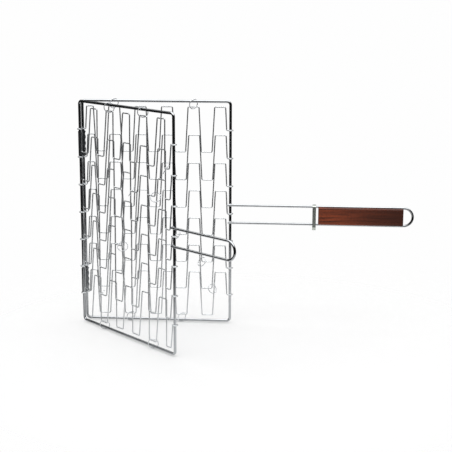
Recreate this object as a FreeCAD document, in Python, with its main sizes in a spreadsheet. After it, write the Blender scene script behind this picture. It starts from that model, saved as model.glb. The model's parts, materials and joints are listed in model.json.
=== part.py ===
"""Flexible grill basket: two wire panels hinged along one side, with a long handle.

The base panel stands in the XZ plane and carries the handle, which points along +X.
The lid panel turns about its own hinge-side upright, towards -Y, and is held open
here at `lid_opening`. Both panels carry rows of wave-shaped wires that hook round the
uprights and tilt a little about the line through their hooks, so the grille gives.
The origin is the middle of the footprint, on the surface that the basket stands on.
"""
import FreeCAD, Part
import math
import os

import Sketcher

Vector = FreeCAD.Vector
X_AXIS = Vector(1, 0, 0)
Z_AXIS = Vector(0, 0, 1)
VOLUME_TOLERANCE = 0.01
EDGE_TOLERANCE = 0.01

document = FreeCAD.newDocument("GrillBasket")

# ---------------------------------------------------------------- driving sizes

SIZES = [
    # panels, measured between wire axes
    ("panel_width", 224.0), ("panel_height", 340.0),
    ("frame_wire", 4.0), ("frame_bend", 5.0),
    # hinge: where the lid's upright stands, seen from the base's upright
    ("hinge_gap", 10.5), ("hinge_offset", 2.2), ("lid_opening", 44.0),
    ("clip_wall", 0.9), ("clip_play", 0.1), ("clip_crimp", 0.05), ("clip_end_gap", 1.6),
    ("flange_reach", 6.2), ("scallop_radius", 6.0), ("scallop_depth", 0.9),
    # wave wires
    # (the long side is the one with more caps: upwards on the base, downwards on the lid;
    # each side reaches its share of the row pitch)
    ("strand_wire", 1.8), ("strand_bend", 2.0), ("long_share", 0.8124), ("short_share", 0.7771),
    ("long_gap", 8.5), ("short_gap", 9.2), ("leg_lean", 3.6), ("first_cap_trim", 6.2),
    ("near_end_gap", 5.0), ("far_end_gap", 5.2),
    ("strand_spacing", 0.4), ("strand_slip", 0.6),
    ("hook_play", 0.55), ("hook_mouth", 60.0),
    # split rings that tie the wave wires to the frames and to each other
    ("ring_wire", 1.2), ("ring_bend", 7.35), ("ring_yaw", 42.0), ("ring_play", 0.4), ("ring_shift", 0.6),
    ("link_shift", 1.4), ("link_drop", 1.0),
    # handle
    ("handle_wire", 3.5), ("handle_spacing", 27.0), ("weld_bite", 0.25), ("handle_stub", 3.5),
    ("handle_reach", 133.5), ("grip_length", 127.0), ("wire_lift", 0.25), ("grip_thickness", 13.0),
    ("grip_edge", 3.0), ("grip_end_edge", 1.0), ("groove_play", 0.05), ("hang_gap", 0.8),
    # lock ring, a flat strip bent into an oblong round the handle wires
    ("lock_width", 5.2), ("lock_strip", 1.2), ("lock_play", 0.5), ("lock_top_play", 0.3),
    ("lock_drop", 8.3), ("lock_bend", 2.0), ("lock_grip_gap", 3.5), ("lock_overlap", 12.0),
    # lid loop
    ("loop_wire", 3.5), ("loop_spacing", 26.0), ("loop_reach", 121.0), ("loop_root", 4.0),
    ("loop_bend", 20.0), ("loop_rest_gap", 0.35),
]
ROWS = 7
LONG_CAPS = 6
SCALLOPS = 4
LINK_NORMAL = (0.58, -0.6, 0.55)  # a link ring leans this way, for a leg on its right

sheet = document.addObject("Spreadsheet::Sheet", "Sizes")
for line, (alias, value) in enumerate(SIZES, start=1):
    sheet.set("A%d" % line, alias)
    sheet.set("B%d" % line, str(value))
    sheet.setAlias("B%d" % line, alias)
document.recompute()


def size(alias):
    return float(sheet.get(alias))


# ---------------------------------------------------------------- sizes that follow

panel_width = size("panel_width")
panel_height = size("panel_height")
frame_radius = size("frame_wire") / 2
strand_radius = size("strand_wire") / 2
ring_radius = size("ring_wire") / 2
handle_radius = size("handle_wire") / 2
loop_radius = size("loop_wire") / 2
hinge = Vector(-size("hinge_offset"), -size("hinge_gap"), 0)
mid_height = panel_height / 2

# rows of wave wires fill the height, and their caps fill the width
row_pitch = ((panel_height - size("long_gap") - size("short_gap"))
             / (ROWS - 1 + size("long_share") + size("short_share")))
long_reach = size("long_share") * row_pitch
short_reach = size("short_share") * row_pitch
row_tilt = math.asin((size("strand_wire") + size("strand_spacing")) / row_pitch)
hook_radius = frame_radius + size("hook_play") + strand_radius
lean = size("leg_lean")
cap_width = (panel_width - size("near_end_gap") - size("far_end_gap") - (2 * LONG_CAPS - 1) * lean
             + size("first_cap_trim")) / (2 * LONG_CAPS - 1)
cap_period = 2 * (cap_width + lean)
first_cap = panel_width - size("far_end_gap") - lean / 2 - cap_width / 2 - (LONG_CAPS - 1) * cap_period

# the handle wires lie on the base upright, and the loop wires on the lid upright
handle_depth = frame_radius + handle_radius - size("weld_bite")
loop_depth = frame_radius + loop_radius - size("weld_bite")
handle_low = mid_height - size("handle_spacing") / 2
grip_start = panel_width + size("handle_reach")

# the loop slopes until its end lies just clear of the handle wires when the lid is shut
loop_sloping = size("loop_reach") - size("loop_root")
loop_slope = math.asin((size("hinge_gap") - size("handle_wire") - size("loop_rest_gap")) / loop_sloping)

# the lock ring clears the handle wires behind and the loop's shut end in front
lock_rest = grip_start - size("lock_grip_gap") - size("lock_width") / 2
lock_travel = lock_rest - (panel_width - size("hinge_offset") + size("loop_reach")) + size("lock_overlap")
lock_back = -handle_depth + handle_radius + size("lock_play")
lock_depth = (size("handle_wire") + size("loop_rest_gap") + size("loop_wire") + 2 * size("lock_play")
              + (lock_travel + size("lock_width")) * math.tan(loop_slope))

# the same sizes as expressions, for the pieces that are bound to them
ROW_PITCH = ("(Sizes.panel_height - Sizes.long_gap - Sizes.short_gap)"
             " / (%d + Sizes.long_share + Sizes.short_share)" % (ROWS - 1))
CLIP_LENGTH = ROW_PITCH + " - Sizes.strand_wire - 2 * Sizes.clip_end_gap"
GRIP_HEIGHT = "Sizes.handle_spacing - 2 * Sizes.wire_lift"
LOOP_SINE = ("(Sizes.hinge_gap - Sizes.handle_wire - Sizes.loop_rest_gap)"
             " / (Sizes.loop_reach - Sizes.loop_root)")
LOCK_TRAVEL = ("Sizes.handle_reach - Sizes.lock_grip_gap - Sizes.lock_width / 2 + Sizes.hinge_offset"
               " - Sizes.loop_reach + Sizes.lock_overlap")
LOCK_HALF = ("(Sizes.handle_wire + Sizes.loop_rest_gap + Sizes.loop_wire + 2 * Sizes.lock_play"
             " + (%s + Sizes.lock_width) * tan(asin(%s))) / 2" % (LOCK_TRAVEL, LOOP_SINE))
LOCK_TOP = "Sizes.handle_spacing + Sizes.lock_drop + Sizes.handle_wire / 2 + Sizes.lock_top_play"


def reach(up, end):
    """How far a wave wire reaches from its hooks towards an end: 1 is the top, -1 the foot.

    `up` is 1 on the base, whose longer run of caps is above the hooks, and -1 on the lid.
    """
    return long_reach if end == up else short_reach


def rim_gap(up, end):
    return size("long_gap") if end == up else size("short_gap")


def row_height(row, up):
    return panel_height - rim_gap(up, 1) - reach(up, 1) - row * row_pitch


def row_slip(row):
    """Each wave wire sits a little to one side, because its hooks are loose."""
    return size("strand_slip") * ((3 * row) % 5 - 2) / 2


def cap_centre(up, end, cap):
    """The middle of a cap across the panel, counted from the hinge side."""
    if up < 0:
        last = LONG_CAPS - 1 if end == up else LONG_CAPS - 2
        return panel_width - cap_centre(1, end * up, last - cap)
    half_step = 0 if end == up else cap_period / 2
    return first_cap + cap * cap_period + half_step


# ---------------------------------------------------------------- building helpers

def origin_plane(body, role):
    return [plane for plane in body.Origin.OriginFeatures if plane.Role == role][0]


def new_sketch(body, name, role):
    sketch = body.newObject("Sketcher::SketchObject", name)
    sketch.AttachmentSupport = [(origin_plane(body, role), "")]
    sketch.MapMode = "FlatFace"
    return sketch


def bind(sketch, constraint, name, expression):
    """Adds a dimension to the sketch and ties it to the sizes."""
    index = sketch.addConstraint(constraint)
    sketch.renameConstraint(index, name)
    sketch.setExpression("Constraints." + name, expression)


def draw(sketch, points, bulges):
    """Lines between the points, and an arc about each given centre; returns the indices.

    `bulges` has one entry for each span: None for a line, or (centre, clockwise).
    """
    indices = []
    for start, end, bulge in zip(points, points[1:], bulges):
        if bulge is None:
            indices.append(sketch.addGeometry(Part.LineSegment(start, end), False))
            continue
        centre, clockwise = bulge
        first, last = (end, start) if clockwise else (start, end)
        circle = Part.Circle(centre, Z_AXIS, (start - centre).Length)
        arc = Part.ArcOfCircle(circle, circle.parameter(first), circle.parameter(last))
        indices.append(sketch.addGeometry(arc, False))
    return indices


def rounded_rectangle(sketch, name, width, height, radius, widths):
    """A rectangle about the sketch's origin, rounded, that starts mid-way along its foot.

    `widths` gives the expressions for the width, the height and the corner radius.
    """
    half_w, half_h = width / 2, height / 2
    in_w, in_h = half_w - radius, half_h - radius
    points = [Vector(0, -half_h), Vector(in_w, -half_h), Vector(half_w, -in_h), Vector(half_w, in_h),
              Vector(in_w, half_h), Vector(-in_w, half_h), Vector(-half_w, in_h),
              Vector(-half_w, -in_h), Vector(-in_w, -half_h), Vector(0, -half_h)]
    corner = [None, (Vector(in_w, -in_h), False), None, (Vector(in_w, in_h), False), None,
              (Vector(-in_w, in_h), False), None, (Vector(-in_w, -in_h), False), None]
    ids = draw(sketch, points, corner)
    add = sketch.addConstraint
    for now, after in zip(ids[:-1], ids[1:]):
        add(Sketcher.Constraint("Tangent", now, 2, after, 1))
    add(Sketcher.Constraint("Coincident", ids[8], 2, ids[0], 1))
    add(Sketcher.Constraint("PointOnObject", ids[0], 1, -2))
    add(Sketcher.Constraint("Horizontal", ids[0]))
    add(Sketcher.Constraint("Vertical", ids[2]))
    add(Sketcher.Constraint("Horizontal", ids[4]))
    add(Sketcher.Constraint("Vertical", ids[6]))
    add(Sketcher.Constraint("Horizontal", ids[8]))
    for arc in (3, 5, 7):
        add(Sketcher.Constraint("Equal", ids[1], ids[arc]))
    add(Sketcher.Constraint("Symmetric", ids[2], 1, ids[6], 1, -1, 1))
    bind(sketch, Sketcher.Constraint("DistanceX", ids[6], 1, ids[2], 1, width), name + "_width", widths[0])
    bind(sketch, Sketcher.Constraint("DistanceY", ids[0], 1, ids[4], 1, height), name + "_height", widths[1])
    bind(sketch, Sketcher.Constraint("Radius", ids[1], radius), name + "_bend", widths[2])


def wire_profile(body, name, role, below, below_expression, radius, radius_expression):
    """The round section of a wire, on the vertical axis of its sketch, below the origin."""
    sketch = new_sketch(body, name, role)
    circle = sketch.addGeometry(Part.Circle(Vector(0, -below), Z_AXIS, radius), False)
    sketch.addConstraint(Sketcher.Constraint("PointOnObject", circle, 3, -2))
    bind(sketch, Sketcher.Constraint("DistanceY", circle, 3, -1, 1, below), "below", below_expression)
    bind(sketch, Sketcher.Constraint("Radius", circle, radius), "wire_radius", radius_expression)
    return sketch


def sweep(body, path, profile):
    pipe = body.newObject("PartDesign::AdditivePipe", body.Name + "_pipe")
    pipe.Profile = profile
    pipe.Spine = (path, [])
    body.Tip = pipe


def rounded_edges(points, radius):
    """Straight runs through the points, with an arc of this radius at every corner."""
    edges = []
    start = points[0]
    for before, corner, after in zip(points, points[1:], points[2:]):
        back = (before - corner).normalize()
        ahead = (after - corner).normalize()
        half_angle = back.getAngle(ahead) / 2
        setback = radius / math.tan(half_angle)
        inward = (back + ahead).normalize() * (radius / math.sin(half_angle) - radius)
        arc_start, arc_end = corner + back * setback, corner + ahead * setback
        edges.append(Part.LineSegment(start, arc_start).toShape())
        edges.append(Part.Arc(arc_start, corner + inward, arc_end).toShape())
        start = arc_end
    edges.append(Part.LineSegment(start, points[-1]).toShape())
    return edges


def round_wire(edges, radius):
    """A solid wire swept along edges that join smoothly."""
    path = Part.Wire(edges)
    first = edges[0]
    start = first.valueAt(first.FirstParameter)
    along = first.tangentAt(first.FirstParameter)
    section = Part.Wire([Part.Circle(start, along, radius).toShape()])
    shape = path.makePipeShell([section], True, False)
    expected = math.pi * radius ** 2 * path.Length
    if abs(shape.Volume / expected - 1) > VOLUME_TOLERANCE:
        raise ValueError("a swept wire lost its volume")
    return shape


# ---------------------------------------------------------------- where pieces go

lid_turn = FreeCAD.Placement(hinge, FreeCAD.Rotation(Z_AXIS, -size("lid_opening")))
base_turn = FreeCAD.Placement()
parts = {}


def place(node, piece, panel, spot, rotation=FreeCAD.Rotation()):
    """Names a finished piece and puts it at a spot given in its panel's own frame."""
    piece.Label = node
    piece.Placement = panel.multiply(FreeCAD.Placement(spot, rotation))
    parts[node] = piece


def shaped(node, shape, panel, spot=Vector()):
    """A piece bent in three dimensions, which no sketch or primitive describes."""
    piece = document.addObject("Part::Feature", node + "_solid")
    piece.Shape = shape
    place(node, piece, panel, spot)


# ---------------------------------------------------------------- panel frames

def panel_frame(node, panel):
    """A panel's rim: one wire bent into a rectangle and butt-welded."""
    body = document.addObject("PartDesign::Body", node + "_body")
    path = new_sketch(body, node + "_path", "XZ_Plane")
    rounded_rectangle(path, "rim", panel_width, panel_height, size("frame_bend"),
                      ("Sizes.panel_width", "Sizes.panel_height", "Sizes.frame_bend"))
    profile = wire_profile(body, node + "_section", "YZ_Plane", panel_height / 2,
                           "Sizes.panel_height / 2", frame_radius, "Sizes.frame_wire / 2")
    sweep(body, path, profile)
    place(node, body, panel, Vector(panel_width / 2, 0, mid_height))


# ---------------------------------------------------------------- wave wires

def strand_points(up, slip):
    """Corners of one wave wire, from its left hook corner to its right one.

    The lid's wires are the base's turned half round in the plane of the panel.
    """
    tilt_y, tilt_z = math.sin(row_tilt), math.cos(row_tilt)

    def spot(across, along):
        if up < 0:
            across = panel_width - across
        return Vector(across + slip, up * along * tilt_y, up * along * tilt_z)

    near, far = size("near_end_gap"), panel_width - size("far_end_gap")
    points = [spot(near, 0)]
    for cap in range(LONG_CAPS):
        left = cap_centre(1, 1, cap) - cap_width / 2
        right = left + cap_width
        if cap == 0:
            left = near + lean / 2
        else:
            points.append(spot(left - lean, -short_reach))
        points.append(spot(left, long_reach))
        points.append(spot(right, long_reach))
        if cap < LONG_CAPS - 1:
            points.append(spot(right + lean, -short_reach))
    points.append(spot(far, 0))
    return points if up > 0 else points[::-1]


def hook(corner_reach, upright, side):
    """A hook round an upright: where the wire leaves it, and the arc it follows.

    `side` is 1 where the grille lies to the right of the upright, and -1 to its left.
    """
    leave = -math.acos(hook_radius / corner_reach)
    stop = math.radians(size("hook_mouth")) - 2 * math.pi

    def spot(angle):
        return Vector(upright + side * hook_radius * math.cos(angle), hook_radius * math.sin(angle), 0)

    return spot(leave), (spot(stop), spot((stop + leave) / 2), spot(leave))


def strand_shape(up, slip):
    corners = strand_points(up, slip)
    left_gap, right_gap = size("near_end_gap"), size("far_end_gap")
    if up < 0:
        left_gap, right_gap = right_gap, left_gap
    left_touch, left_arc = hook(left_gap + slip, 0, 1)
    right_touch, right_arc = hook(right_gap - slip, panel_width, -1)
    edges = [Part.Arc(*left_arc).toShape()]
    edges += rounded_edges([left_touch] + corners + [right_touch], size("strand_bend"))
    edges.append(Part.Arc(*reversed(right_arc)).toShape())
    return round_wire(edges, strand_radius)


def panel_strands(name, panel, up):
    for row in range(ROWS):
        shape = strand_shape(up, row_slip(row))
        shaped("%s_strand_%d" % (name, row + 1), shape, panel, Vector(0, 0, row_height(row, up)))


# ---------------------------------------------------------------- rings

def ring(name):
    torus = document.addObject("Part::Torus", name)
    torus.setExpression("Radius1", "Sizes.ring_bend")
    torus.setExpression("Radius2", "Sizes.ring_wire / 2")
    return torus


def turned_to(normal):
    return FreeCAD.Rotation(Z_AXIS, normal)


def rim_rings(name, panel, up, end, chosen):
    """Rings that tie caps of the outermost wave wire to the rim, above or below.

    Each one hangs on the rim, leans towards the cap that it ties, and is turned by
    `ring_yaw` from the panel. `end` is 1 at the top of the panel and -1 at its foot.
    """
    row = 0 if end > 0 else ROWS - 1
    yaw = math.radians(size("ring_yaw"))
    depth = reach(up, end) * math.sin(row_tilt) + size("ring_shift")
    to_cap = Vector(0, end * depth, -end * rim_gap(up, end)).normalize()
    across = X_AXIS * math.cos(yaw) + Vector(0, rim_gap(up, end), depth).normalize() * math.sin(yaw)
    hang = size("ring_bend") - ring_radius - frame_radius - size("ring_play")
    rings = []
    for count, cap in enumerate(chosen, start=1):
        torus = ring("%s_%d" % (name, count))
        rim_spot = Vector(cap_centre(up, end, cap) + row_slip(row), 0, mid_height + end * mid_height)
        torus.Placement = FreeCAD.Placement(rim_spot + to_cap * hang, turned_to(to_cap.cross(across)))
        rings.append(torus)
    group = document.addObject("Part::Compound", name + "_pair")
    group.Links = rings
    place(name, group, panel, Vector())


def link_ring(name, panel, row, up, cap, side):
    """A ring that ties a lower cap of one wave wire to a leg of the next one down."""
    foot = row_height(row, up) - reach(up, -1) * math.cos(row_tilt)
    corner = cap_centre(up, -1, cap) + side * cap_width / 2
    leg_lean = lean * row_pitch / (long_reach + short_reach)
    leg_x = corner + side * leg_lean + row_slip(row + 1)
    middle = (leg_x + corner + row_slip(row)) / 2
    lean_side, lean_back, lean_up = LINK_NORMAL
    centre = Vector(middle - side * size("link_shift"), 0, foot - size("link_drop"))
    place(name, ring(name + "_ring"), panel, centre, turned_to(Vector(side * lean_side, lean_back, lean_up)))


# ---------------------------------------------------------------- hinge clips

def cylinder(name, radius, spot):
    """A cylinder as long as a hinge clip, about an upright."""
    solid = document.addObject("Part::Cylinder", name)
    solid.setExpression("Radius", radius)
    solid.setExpression("Height", CLIP_LENGTH)
    solid.Placement.Base = spot
    return solid


def fused(name, shapes):
    solid = document.addObject("Part::MultiFuse", name)
    solid.Shapes = shapes
    return solid


def hinge_clip(node, row):
    """A strap folded round both uprights between two rows of hooks.

    It is crimped on the base upright, and the lid upright turns in it. The strap's two
    ends are pinched together into a flange with a scalloped edge, in front of the base.
    """
    length = row_pitch - size("strand_wire") - 2 * size("clip_end_gap")
    bottom = row_height(row, 1) - row_pitch / 2 - length / 2
    outer = "Sizes.frame_wire / 2 + Sizes.clip_play + Sizes.clip_wall"
    web = document.addObject("Part::Box", node + "_web")
    web.setExpression("Length", "sqrt(Sizes.hinge_gap ^ 2 + Sizes.hinge_offset ^ 2)")
    flange = document.addObject("Part::Box", node + "_flange")
    flange.setExpression("Length", "Sizes.flange_reach")
    for wall in (web, flange):
        wall.setExpression("Width", "2 * Sizes.clip_wall")
        wall.setExpression("Height", CLIP_LENGTH)
    web_turn = FreeCAD.Rotation(X_AXIS, hinge)
    web.Placement = FreeCAD.Placement(web_turn.multVec(Vector(0, -size("clip_wall"), 0)), web_turn)
    flange.Placement.Base = hinge * 0.5 - Vector(0, size("clip_wall"), 0)
    strap = fused(node + "_strap", [cylinder(node + "_base_barrel", outer, Vector()),
                                    cylinder(node + "_lid_barrel", outer, hinge), web, flange])
    cuts = [cylinder(node + "_crimp", "Sizes.frame_wire / 2 - Sizes.clip_crimp", Vector()),
            cylinder(node + "_bore", "Sizes.frame_wire / 2 + Sizes.clip_play", hinge)]
    edge = hinge.x / 2 + size("flange_reach") - size("scallop_depth") + size("scallop_radius")
    for scallop in range(SCALLOPS):
        cut = document.addObject("Part::Cylinder", "%s_scallop_%d" % (node, scallop + 1))
        cut.setExpression("Radius", "Sizes.scallop_radius")
        cut.setExpression("Height", "Sizes.hinge_gap")
        spot = Vector(edge, hinge.y, (scallop + 0.5) * length / SCALLOPS)
        cut.Placement = FreeCAD.Placement(spot, FreeCAD.Rotation(Z_AXIS, Vector(0, 1, 0)))
        cuts.append(cut)
    clip = document.addObject("Part::Cut", node + "_cut")
    clip.Base = strap
    clip.Tool = fused(node + "_cuts", cuts)
    place(node, clip, base_turn, Vector(0, 0, bottom))


# ---------------------------------------------------------------- handle

def handle():
    """One wire, doubled back on itself: two legs, and a loop at the end to hang it by."""
    half = size("handle_spacing") / 2
    legs = size("handle_reach") + size("handle_stub") + size("grip_length") + size("hang_gap")
    body = document.addObject("PartDesign::Body", "handle_body")
    path = new_sketch(body, "handle_path", "XZ_Plane")
    ids = draw(path, [Vector(0, -half), Vector(legs, -half), Vector(legs, half), Vector(0, half)],
               [None, (Vector(legs, 0), False), None])
    add = path.addConstraint
    add(Sketcher.Constraint("Tangent", ids[0], 2, ids[1], 1))
    add(Sketcher.Constraint("Tangent", ids[1], 2, ids[2], 1))
    add(Sketcher.Constraint("Horizontal", ids[0]))
    add(Sketcher.Constraint("Horizontal", ids[2]))
    add(Sketcher.Constraint("Symmetric", ids[0], 1, ids[2], 2, -1, 1))
    bind(path, Sketcher.Constraint("DistanceY", ids[0], 1, ids[2], 2, 2 * half), "spacing",
         "Sizes.handle_spacing")
    bind(path, Sketcher.Constraint("DistanceX", ids[0], 1, ids[0], 2, legs), "legs",
         "Sizes.handle_reach + Sizes.handle_stub + Sizes.grip_length + Sizes.hang_gap")
    profile = wire_profile(body, "handle_section", "YZ_Plane", half, "Sizes.handle_spacing / 2",
                           handle_radius, "Sizes.handle_wire / 2")
    sweep(body, path, profile)
    place("handle_wire", body, base_turn,
          Vector(panel_width - size("handle_stub"), -handle_depth, mid_height))


def grip():
    """A rosewood bar with a groove along its top and its foot for the handle wires."""
    body = document.addObject("PartDesign::Body", "grip_body")
    outline = new_sketch(body, "grip_outline", "YZ_Plane")
    height = size("handle_spacing") - 2 * size("wire_lift")
    rounded_rectangle(outline, "grip", size("grip_thickness"), height, size("grip_edge"),
                      ("Sizes.grip_thickness", GRIP_HEIGHT, "Sizes.grip_edge"))
    bar = body.newObject("PartDesign::Pad", "grip_bar")
    bar.Profile = outline
    bar.setExpression("Length", "Sizes.grip_length")
    document.recompute()
    end_edges = ["Edge%d" % number for number, edge in enumerate(bar.Shape.Edges, start=1)
                 if edge.BoundBox.XLength < EDGE_TOLERANCE]
    rounding = body.newObject("PartDesign::Fillet", "grip_rounding")
    rounding.Base = (bar, end_edges)
    rounding.setExpression("Radius", "Sizes.grip_end_edge")
    grooves = new_sketch(body, "grip_grooves", "YZ_Plane")
    half = size("handle_spacing") / 2
    groove = handle_radius + size("groove_play")
    circles = []
    for level in (-half, half):
        circles.append(grooves.addGeometry(Part.Circle(Vector(0, level), Z_AXIS, groove), False))
    grooves.addConstraint(Sketcher.Constraint("PointOnObject", circles[0], 3, -2))
    grooves.addConstraint(Sketcher.Constraint("Equal", circles[0], circles[1]))
    grooves.addConstraint(Sketcher.Constraint("Symmetric", circles[0], 3, circles[1], 3, -1, 1))
    bind(grooves, Sketcher.Constraint("DistanceY", circles[0], 3, circles[1], 3, 2 * half), "spacing",
         "Sizes.handle_spacing")
    bind(grooves, Sketcher.Constraint("Radius", circles[0], groove), "groove",
         "Sizes.handle_wire / 2 + Sizes.groove_play")
    document.recompute()
    full = body.Shape.Volume
    cut = body.newObject("PartDesign::Pocket", "grip_groove_cut")
    cut.Profile = grooves
    cut.setExpression("Length", "Sizes.grip_length")
    cut.Reversed = True
    body.Tip = cut
    document.recompute()
    if not body.Shape.Volume < full:
        raise ValueError("the grip has no grooves")
    place("wood_grip", body, base_turn, Vector(grip_start, -handle_depth, mid_height))


def oblong(sketch, name, half, foot, top, corner, bounds):
    """A closed outline: round at its foot, flat across its top, with rounded top corners.

    `foot` is the height of the round foot's centre. `bounds` gives the expressions for
    the half width, the foot, the top and the corner radius.
    """
    points = [Vector(-half, foot), Vector(half, foot), Vector(half, top - corner),
              Vector(half - corner, top), Vector(corner - half, top), Vector(-half, top - corner),
              Vector(-half, foot)]
    ids = draw(sketch, points, [(Vector(0, foot), False), None, (Vector(half - corner, top - corner), False),
                                None, (Vector(corner - half, top - corner), False), None])
    add = sketch.addConstraint
    for now, after in zip(ids, ids[1:] + ids[:1]):
        add(Sketcher.Constraint("Tangent", now, 2, after, 1))
    add(Sketcher.Constraint("Vertical", ids[1]))
    add(Sketcher.Constraint("Vertical", ids[5]))
    add(Sketcher.Constraint("Horizontal", ids[3]))
    add(Sketcher.Constraint("Equal", ids[2], ids[4]))
    add(Sketcher.Constraint("PointOnObject", ids[0], 3, -2))
    bind(sketch, Sketcher.Constraint("Radius", ids[0], half), name + "_half", bounds[0])
    bind(sketch, Sketcher.Constraint("DistanceY", -1, 1, ids[0], 3, foot), name + "_foot", bounds[1])
    bind(sketch, Sketcher.Constraint("DistanceY", -1, 1, ids[3], 1, top), name + "_top", bounds[2])
    bind(sketch, Sketcher.Constraint("Radius", ids[2], corner), name + "_corner", bounds[3])


def lock_ring():
    """A flat strip bent into an oblong: flat across the top, round at its foot."""
    strip, bend = size("lock_strip"), size("lock_bend")
    half = lock_depth / 2
    top = size("handle_spacing") + size("lock_drop") + handle_radius + size("lock_top_play")
    foot_centre = LOCK_HALF + " + Sizes.lock_strip"
    body = document.addObject("PartDesign::Body", "lock_ring_body")
    outline = new_sketch(body, "lock_ring_outline", "YZ_Plane")
    oblong(outline, "outer", half + strip, half + strip, top + strip, bend + strip,
           (LOCK_HALF + " + Sizes.lock_strip", foot_centre, LOCK_TOP + " + Sizes.lock_strip",
            "Sizes.lock_bend + Sizes.lock_strip"))
    oblong(outline, "inner", half, half + strip, top, bend,
           (LOCK_HALF, foot_centre, LOCK_TOP, "Sizes.lock_bend"))
    band = body.newObject("PartDesign::Pad", "lock_ring_band")
    band.Profile = outline
    band.setExpression("Length", "Sizes.lock_width")
    place("lock_ring", body, base_turn,
          Vector(lock_rest - size("lock_width") / 2, lock_back - half, handle_low - size("lock_drop")))


def lid_loop():
    """The wire loop that swings over the handle and slips under the lock ring."""
    half = size("loop_spacing") / 2
    start = panel_width - frame_radius
    knee = panel_width + size("loop_root")
    straight = loop_sloping - half
    slope = Vector(math.cos(loop_slope), math.sin(loop_slope), 0)
    edges = []
    for end in (-1, 1):
        root = Vector(start, -loop_depth, end * half)
        bend = Vector(knee, -loop_depth, end * half)
        leg = rounded_edges([root, bend, bend + slope * straight], size("loop_bend"))
        edges.append(leg)
    nose = Vector(knee, -loop_depth, 0) + slope * loop_sloping
    low_end = Vector(knee, -loop_depth, -half) + slope * straight
    high_end = Vector(knee, -loop_depth, half) + slope * straight
    path = edges[0] + [Part.Arc(low_end, nose, high_end).toShape()]
    for edge in reversed(edges[1]):
        first, last = edge.valueAt(edge.FirstParameter), edge.valueAt(edge.LastParameter)
        middle = edge.valueAt((edge.FirstParameter + edge.LastParameter) / 2)
        if edge.Curve.TypeId == "Part::GeomLine":
            path.append(Part.LineSegment(last, first).toShape())
        else:
            path.append(Part.Arc(last, middle, first).toShape())
    shaped("lid_loop", round_wire(path, loop_radius), lid_turn, Vector(0, 0, mid_height))


# ---------------------------------------------------------------- the whole basket

panel_frame("base_frame", base_turn)
panel_frame("lid_frame", lid_turn)
handle()
grip()
lock_ring()
lid_loop()
hinge_clip("hinge_clip_upper", 0)
hinge_clip("hinge_clip_lower", ROWS - 2)
panel_strands("base", base_turn, 1)
panel_strands("lid", lid_turn, -1)

rim_rings("base_top_rings", base_turn, 1, 1, (1, 4))
rim_rings("base_foot_rings", base_turn, 1, -1, (1, 3))
rim_rings("lid_top_rings", lid_turn, -1, 1, (1, 3))
rim_rings("lid_foot_rings", lid_turn, -1, -1, (1, 4))

for row, cap, side in ((4, 3, -1), (5, 4, -1), (6, 4, 1)):
    link_ring("base_link_ring_%d" % row, base_turn, row - 1, 1, cap, side)
LID_LINKS = ((1, 5, -1), (2, 3, -1), (2, 4, 1), (4, 2, 1), (6, 1, -1))
for number, (row, cap, side) in enumerate(LID_LINKS, start=1):
    link_ring("lid_link_ring_%d" % number, lid_turn, row - 1, -1, cap, side)

document.recompute()

# the origin is the middle of the footprint, on the floor
box = FreeCAD.BoundBox()
for piece in parts.values():
    box.add(piece.Shape.optimalBoundingBox(False))
to_origin = FreeCAD.Placement(Vector(-box.Center.x, -box.Center.y, -box.ZMin), FreeCAD.Rotation())
for piece in parts.values():
    piece.Placement = to_origin.multiply(piece.Placement)
document.recompute()

for piece in document.Objects:
    if "Invalid" in piece.State or "Error" in piece.State:
        raise RuntimeError(piece.Label + " failed to rebuild")
os.makedirs("parts", exist_ok=True)
for node, piece in parts.items():
    if piece.Shape.isNull() or not piece.Shape.isValid():
        raise RuntimeError(node + " has no valid shape")
    piece.Shape.exportStep("parts/%s.step" % node)

foot = to_origin.Base
print("pieces", len(parts))
print("base upright at", foot, "lid axis at", foot + hinge)
print("size", box.XLength, box.YLength, box.ZLength)
print("row pitch", row_pitch, "row tilt", math.degrees(row_tilt), "cap width", cap_width)
print("loop slope", math.degrees(loop_slope), "lock travel", lock_travel, "lock depth", lock_depth)
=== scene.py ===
import json
import math

import bmesh
import bpy
from mathutils import Matrix, Vector

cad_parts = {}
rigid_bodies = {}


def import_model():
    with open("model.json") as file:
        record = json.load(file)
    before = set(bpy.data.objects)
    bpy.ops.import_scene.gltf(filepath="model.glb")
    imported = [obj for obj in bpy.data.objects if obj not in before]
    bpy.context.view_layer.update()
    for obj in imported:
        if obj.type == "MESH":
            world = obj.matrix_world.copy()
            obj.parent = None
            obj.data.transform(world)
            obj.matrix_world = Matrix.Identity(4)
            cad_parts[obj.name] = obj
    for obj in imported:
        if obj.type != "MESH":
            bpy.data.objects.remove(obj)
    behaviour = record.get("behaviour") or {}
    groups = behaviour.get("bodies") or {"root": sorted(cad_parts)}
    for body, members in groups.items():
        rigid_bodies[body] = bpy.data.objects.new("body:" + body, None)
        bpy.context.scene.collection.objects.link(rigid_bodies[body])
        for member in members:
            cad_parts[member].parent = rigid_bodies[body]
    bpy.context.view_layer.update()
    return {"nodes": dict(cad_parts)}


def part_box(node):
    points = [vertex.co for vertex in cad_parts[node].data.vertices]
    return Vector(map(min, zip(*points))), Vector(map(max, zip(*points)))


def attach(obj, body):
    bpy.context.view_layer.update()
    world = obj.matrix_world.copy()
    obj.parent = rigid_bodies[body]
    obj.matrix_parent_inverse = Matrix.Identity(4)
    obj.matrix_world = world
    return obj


for leftover in list(bpy.data.objects):
    bpy.data.objects.remove(leftover)

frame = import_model()
nodes = frame["nodes"]
MM = 0.001

# ---- Panel rims -------------------------------------------------------------
# Each panel's rim is one drawn steel wire, bent into a rectangle, butt-welded in the
# middle of its foot and chrome plated, so it mirrors whatever stands round it.

RIM_WIRE = 4.0 * MM


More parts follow.
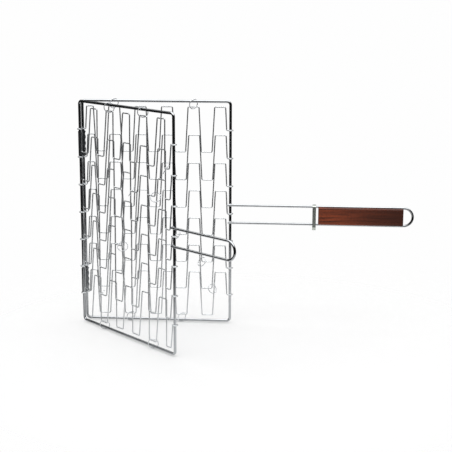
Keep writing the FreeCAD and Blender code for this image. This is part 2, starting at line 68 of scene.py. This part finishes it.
def srgb(code):
    """An sRGB hex colour as the linear RGBA that a shader takes."""
    parts = [int(code[i:i + 2], 16) / 255 for i in (1, 3, 5)]
    return [c / 12.92 if c <= 0.04045 else ((c + 0.055) / 1.055) ** 2.4 for c in parts] + [1.0]


def add_node(tree, kind, settings=None, inputs=None):
    """Adds a shader node, sets its properties and its inputs, and links sockets given as inputs."""
    node = tree.nodes.new(kind)
    for name, value in (settings or {}).items():
        setattr(node, name, value)
    for name, value in (inputs or {}).items():
        if isinstance(value, bpy.types.NodeSocket):
            tree.links.new(value, node.inputs[name])
        else:
            node.inputs[name].default_value = value
    return node


def new_material(name):
    """An empty material: its tree and its output node."""
    material = bpy.data.materials.new(name)
    material.use_nodes = True
    material.node_tree.nodes.clear()
    return material, material.node_tree, add_node(material.node_tree, "ShaderNodeOutputMaterial")


def new_object(name, data):
    """An object of this data, shown in the scene."""
    piece = bpy.data.objects.new(name, data)
    bpy.context.scene.collection.objects.link(piece)
    return piece


def finish_nodes(material, *names):
    """Puts the material on these CAD nodes."""
    for name in names:
        mesh = nodes[name].data
        mesh.materials.clear()
        mesh.materials.append(material)


def metal(tree, output, colour, gloss, bump):
    """Joins the colour, the roughness and the relief of a bare metal to the output."""
    shader = add_node(tree, "ShaderNodeBsdfPrincipled", inputs={
        "Base Color": colour.outputs[2], "Metallic": 1.0, "Roughness": gloss.outputs["Result"],
        "Normal": bump.outputs["Normal"]})
    tree.links.new(shader.outputs[0], output.inputs[0])


CLOUD = 14 * MM
RELIEF = 0.02 * MM


def plated_wire(name, light, dull, smooth, rough, ripple):
    """Chrome on drawn wire: a mirror that is broken a little by the wire's own ripple.

    Where the plating is cloudy it goes from `light` and `smooth` to `dull` and `rough`.
    """
    material, tree, output = new_material(name)
    where = add_node(tree, "ShaderNodeTexCoord").outputs["Object"]
    cloud = add_node(tree, "ShaderNodeTexNoise", inputs={
        "Vector": where, "Scale": 1 / CLOUD, "Detail": 3.0})
    colour = add_node(tree, "ShaderNodeMix", {"data_type": "RGBA"},
                      {"Factor": cloud.outputs["Fac"], 6: srgb(light), 7: srgb(dull)})
    gloss = add_node(tree, "ShaderNodeMapRange", inputs={"Value": cloud.outputs["Fac"], "From Min": 0.3,
                     "From Max": 0.7, "To Min": smooth, "To Max": rough})
    waves = add_node(tree, "ShaderNodeTexNoise", inputs={"Vector": where, "Scale": 1 / ripple})
    bump = add_node(tree, "ShaderNodeBump", inputs={
        "Height": waves.outputs["Fac"], "Strength": 0.12, "Distance": RELIEF})
    metal(tree, output, colour, gloss, bump)
    return material


def bead(shape, centre, along, out, halves):
    """Adds a weld bead: an ellipsoid with these half sizes along the wire, outwards and upwards."""
    axes = [along * halves[0], out * halves[1], Vector((0, 0, 1)) * halves[2]]
    turned = Matrix(axes).transposed().to_4x4()
    bmesh.ops.create_icosphere(shape, subdivisions=3, radius=1, matrix=Matrix.Translation(centre) @ turned)


def add_piece(name, shape, material, body):
    """Turns the finished mesh into a piece of chromed wire that moves with a CAD body."""
    mesh = bpy.data.meshes.new(name)
    shape.to_mesh(mesh)
    shape.free()
    for face in mesh.polygons:
        face.use_smooth = True
    mesh.materials.append(material)
    piece = new_object(name, mesh)
    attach(piece, body)


rim_chrome = plated_wire("chrome_plated_rim_wire", "#c4c6c8", "#a4a7aa", 0.06, 0.12, 6 * MM)
finish_nodes(rim_chrome, "base_frame", "lid_frame")

# the uprights' axes at the foot of each panel: the hinge side, then the far side
SEAM_HALF = 1.6 * MM
SEAM_PROUD = 0.18 * MM
INSET = Vector((RIM_WIRE / 2, RIM_WIRE / 2, RIM_WIRE / 2))
base_low, base_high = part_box("base_frame")
base_near = base_low + INSET
base_far = Vector((base_high.x - RIM_WIRE / 2, base_near.y, base_near.z))
lid_low, lid_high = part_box("lid_frame")
lid_near = Vector((lid_low.x + RIM_WIRE / 2, lid_high.y - RIM_WIRE / 2, lid_low.z + RIM_WIRE / 2))
lid_far = Vector((lid_high.x - RIM_WIRE / 2, lid_low.y + RIM_WIRE / 2, lid_near.z))
across = {}
for panel, near, far in (("base", base_near, base_far), ("lid", lid_near, lid_far)):
    along = (far - near).normalized()
    across[panel] = (along, Vector((-along.y, along.x, 0)))
    seam = bmesh.new()
    swollen = RIM_WIRE / 2 + SEAM_PROUD
    bead(seam, (near + far) / 2, *across[panel], (SEAM_HALF, swollen, swollen))
    add_piece(panel + "_rim_butt_weld", seam, rim_chrome, panel)

# ---- Wave wires -------------------------------------------------------------
# Seven in each panel: 1.8 mm spring wire bent square by a forming machine, whose plating
# is rougher and paler than the rims'.

wave_chrome = plated_wire("chrome_plated_wave_wire", "#e9ebec", "#cdd0d2", 0.34, 0.46, 2 * MM)
finish_nodes(wave_chrome, *[n for n in nodes if "_strand_" in n])

# ---- Tie rings --------------------------------------------------------------
# Small closed rings of 1.2 mm wire that tie the outermost wave wires to the rims, and
# some of the others to each other. Their plating is the roughest of the wires.

ring_chrome = plated_wire("chrome_plated_ring_wire", "#eceef0", "#d4d7da", 0.50, 0.62, 2 * MM)
finish_nodes(ring_chrome, *[n for n in nodes if n.endswith("_rings") or "_link_ring_" in n])

# ---- Hinge clips ------------------------------------------------------------
# Strips of plated sheet steel folded round both hinge-side uprights. They are crimped
# on the base's, and the lid's turns in them.

BRUSH_WIDTH = 0.25 * MM
BRUSH_LENGTH = 6 * MM
GLOSS_SPREAD = 0.08


def satin_sheet(name, light, dark, rough):
    """Brushed and plated sheet steel, whose fine grain runs upwards."""
    material, tree, output = new_material(name)
    where = add_node(tree, "ShaderNodeTexCoord").outputs["Object"]
    brushed = add_node(tree, "ShaderNodeMapping", inputs={"Vector": where,
                       "Scale": (1 / BRUSH_WIDTH, 1 / BRUSH_WIDTH, 1 / BRUSH_LENGTH)})
    grain = add_node(tree, "ShaderNodeTexNoise", inputs={
        "Vector": brushed.outputs[0], "Scale": 1.0, "Detail": 4.0})
    colour = add_node(tree, "ShaderNodeMix", {"data_type": "RGBA"},
                      {"Factor": grain.outputs["Fac"], 6: srgb(light), 7: srgb(dark)})
    gloss = add_node(tree, "ShaderNodeMapRange", inputs={
        "Value": grain.outputs["Fac"], "To Min": rough - GLOSS_SPREAD, "To Max": rough + GLOSS_SPREAD})
    bump = add_node(tree, "ShaderNodeBump", inputs={
        "Height": grain.outputs["Fac"], "Strength": 0.3, "Distance": RELIEF})
    metal(tree, output, colour, gloss, bump)
    return material


clip_steel = satin_sheet("folded_sheet_steel", "#b4b5b6", "#84868a", 0.22)
finish_nodes(clip_steel, "hinge_clip_upper", "hinge_clip_lower")

# ---- Handle wire and lid loop -----------------------------------------------
# 3.5 mm wire, chromed; resistance-welded across the rims' far uprights, which leaves a
# small nugget squeezed out at each crossing.

handle_chrome = plated_wire("chrome_plated_handle_wire", "#c6c8ca", "#a6a9ac", 0.07, 0.14, 6 * MM)
finish_nodes(handle_chrome, "handle_wire", "lid_loop")

CROSS_WIRE = 3.5 * MM
NUGGET = (2.35 * MM, 0.8 * MM, 2.15 * MM)
for panel, wire, far in (("base", "handle_wire", base_far), ("lid", "lid_loop", lid_far)):
    along, out = across[panel]
    wire_low, wire_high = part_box(wire)
    nuggets = bmesh.new()
    for level in (wire_low.z + CROSS_WIRE / 2, wire_high.z - CROSS_WIRE / 2):
        touch = Vector((far.x, far.y, level)) - out * RIM_WIRE / 2
        bead(nuggets, touch, along, out, NUGGET)
    add_piece(wire + "_weld_nuggets", nuggets, handle_chrome, panel)

# ---- Grip -------------------------------------------------------------------
# Oiled rosewood: red-brown with dark straight streaks along the bar and open pores,
# and darker towards the end at the hanging loop.

STREAK = (70 * MM, 3.2 * MM, 3.2 * MM)
PORE = (4.5 * MM, 0.35 * MM, 0.35 * MM)
PORE_DEPTH = 0.08 * MM
STREAK_LEAN = math.radians(1.5)

rosewood, tree, output = new_material("oiled_rosewood")
where = add_node(tree, "ShaderNodeTexCoord").outputs["Object"]
streak_map = add_node(tree, "ShaderNodeMapping", inputs={
    "Vector": where, "Rotation": (0, STREAK_LEAN, 0), "Scale": [1 / width for width in STREAK]})
streaks = add_node(tree, "ShaderNodeTexNoise", inputs={"Vector": streak_map.outputs[0], "Scale": 1.0,
                   "Detail": 6.0, "Roughness": 0.62, "Distortion": 0.6})
tones = add_node(tree, "ShaderNodeValToRGB", inputs={"Fac": streaks.outputs["Fac"]})
tones.color_ramp.elements[0].position = 0.28
tones.color_ramp.elements[0].color = srgb("#33140a")
tones.color_ramp.elements[1].position = 0.72
tones.color_ramp.elements[1].color = srgb("#92401c")
middle = tones.color_ramp.elements.new(0.48)
middle.color = srgb("#6f3016")
pore_map = add_node(tree, "ShaderNodeMapping", inputs={
    "Vector": where, "Scale": [1 / width for width in PORE]})
pores = add_node(tree, "ShaderNodeTexNoise", inputs={
    "Vector": pore_map.outputs[0], "Scale": 1.0, "Detail": 2.0})
pore_mask = add_node(tree, "ShaderNodeMapRange", inputs={"Value": pores.outputs["Fac"], "From Min": 0.30,
                     "From Max": 0.42})
grip_low, grip_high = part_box("wood_grip")
length_along = add_node(tree, "ShaderNodeSeparateXYZ", inputs={0: where}).outputs["X"]
# the grip's colour darkens smoothly along its length towards the end at the hanging loop
darker_towards_loop = add_node(tree, "ShaderNodeMapRange", {"interpolation_type": "SMOOTHSTEP"}, {
    "Value": length_along, "From Min": grip_low.x, "From Max": grip_high.x, "To Min": 0.05, "To Max": 0.85})
darker = add_node(tree, "ShaderNodeMix", {"data_type": "RGBA"},
                  {"Factor": darker_towards_loop.outputs["Result"], 6: tones.outputs["Color"], 7: srgb("#33150a")})
colour = add_node(tree, "ShaderNodeMix", {"data_type": "RGBA"},
                  {"Factor": pore_mask.outputs["Result"], 6: srgb("#2e110a"), 7: darker.outputs[2]})
bump = add_node(tree, "ShaderNodeBump", inputs={"Height": pore_mask.outputs["Result"], "Strength": 0.5,
                "Distance": PORE_DEPTH})
shader = add_node(tree, "ShaderNodeBsdfPrincipled", inputs={
    "Base Color": colour.outputs[2], "Roughness": 0.42, "Specular IOR Level": 0.3,
    "Normal": bump.outputs["Normal"]})
tree.links.new(shader.outputs[0], output.inputs[0])
finish_nodes(rosewood, "wood_grip")

# ---- Lock ring --------------------------------------------------------------
# A strip of satin plated steel bent into an oblong round the handle wires. It slides
# over the end of the lid loop to hold the basket shut.

finish_nodes(satin_sheet("satin_plated_strip", "#d0d5ce", "#a8aea7", 0.34), "lock_ring")

# ---- Studio -----------------------------------------------------------------
# A pale floor that fades into the backdrop, one broad soft light overhead, and a room
# that is white to the eye.

CAMERA_FROM_HINGE = Vector((0.339, -1.6026, 0.5006))
CAMERA_YAW = math.radians(4.33)
CAMERA_PITCH = math.radians(12.29)
CAMERA_ROLL = math.radians(0.2)
FOCAL_LENGTH_MM = 85.8
lens = bpy.data.cameras.new("camera")
lens.lens = FOCAL_LENGTH_MM
camera = new_object("camera", lens)
turn = (Matrix.Rotation(CAMERA_YAW, 4, "Z") @ Matrix.Rotation(math.pi / 2 - CAMERA_PITCH, 4, "X")
        @ Matrix.Rotation(CAMERA_ROLL, 4, "Z"))
camera.matrix_world = Matrix.Translation(base_near + CAMERA_FROM_HINGE) @ turn
bpy.context.scene.camera = camera

FLOOR_RADIUS = 0.62
FLOOR_SIDES = 96
shape = bmesh.new()
bmesh.ops.create_circle(shape, cap_ends=True, segments=FLOOR_SIDES, radius=FLOOR_RADIUS)
floor_mesh = bpy.data.meshes.new("floor")
shape.to_mesh(floor_mesh)
shape.free()
floor = new_object("floor", floor_mesh)
paper, tree, output = new_material("white_paper_floor")
where = add_node(tree, "ShaderNodeTexCoord").outputs["Object"]
reach = add_node(tree, "ShaderNodeVectorMath", {"operation": "LENGTH"}, {0: where})
fade = add_node(tree, "ShaderNodeMapRange", {"interpolation_type": "SMOOTHSTEP"}, {
    "Value": reach.outputs["Value"], "From Min": 0.08 * FLOOR_RADIUS, "From Max": 0.95 * FLOOR_RADIUS})
matt = add_node(tree, "ShaderNodeBsdfDiffuse", inputs={"Color": srgb("#f8f8f8")})
clear = add_node(tree, "ShaderNodeBsdfTransparent")
mixed = add_node(tree, "ShaderNodeMixShader", inputs={0: fade.outputs["Result"], 1: matt.outputs[0],
                 2: clear.outputs[0]})
tree.links.new(mixed.outputs[0], output.inputs[0])
floor_mesh.materials.append(paper)

SOFTBOX = 1.6
SOFTBOX_PLACE = (-0.2, -0.2, 1.9)
SOFTBOX_WATTS = 5
light = bpy.data.lights.new("softbox", "AREA")
light.shape = "SQUARE"
light.size = SOFTBOX
light.energy = SOFTBOX_WATTS
lamp = new_object("softbox", light)
lamp.location = SOFTBOX_PLACE
lamp.visible_glossy = False

# The room: white to the eye and as light, but what the chrome mirrors is dark round
# the horizon and bright overhead.
world = bpy.data.worlds.new("studio")
bpy.context.scene.world = world
world.use_nodes = True
tree = world.node_tree
tree.nodes.clear()
towards = add_node(tree, "ShaderNodeTexCoord").outputs["Generated"]
height = add_node(tree, "ShaderNodeSeparateXYZ", inputs={0: towards}).outputs["Z"]
ceiling = add_node(tree, "ShaderNodeMapRange", {"interpolation_type": "SMOOTHSTEP"}, {
    "Value": height, "From Min": 0.50, "From Max": 0.84, "To Min": 0.010, "To Max": 2.6})
path = add_node(tree, "ShaderNodeLightPath")
mirrored = add_node(tree, "ShaderNodeBackground", inputs={"Color": ceiling.outputs["Result"]})
seen = add_node(tree, "ShaderNodeBackground", inputs={"Color": srgb("#fefefe"), "Strength": 1.0})
both = add_node(tree, "ShaderNodeMixShader", inputs={0: path.outputs["Is Glossy Ray"], 1: seen.outputs[0],
                2: mirrored.outputs[0]})
add_node(tree, "ShaderNodeOutputWorld", inputs={0: both.outputs[0]})
bpy.context.scene.view_settings.view_transform = "Standard"
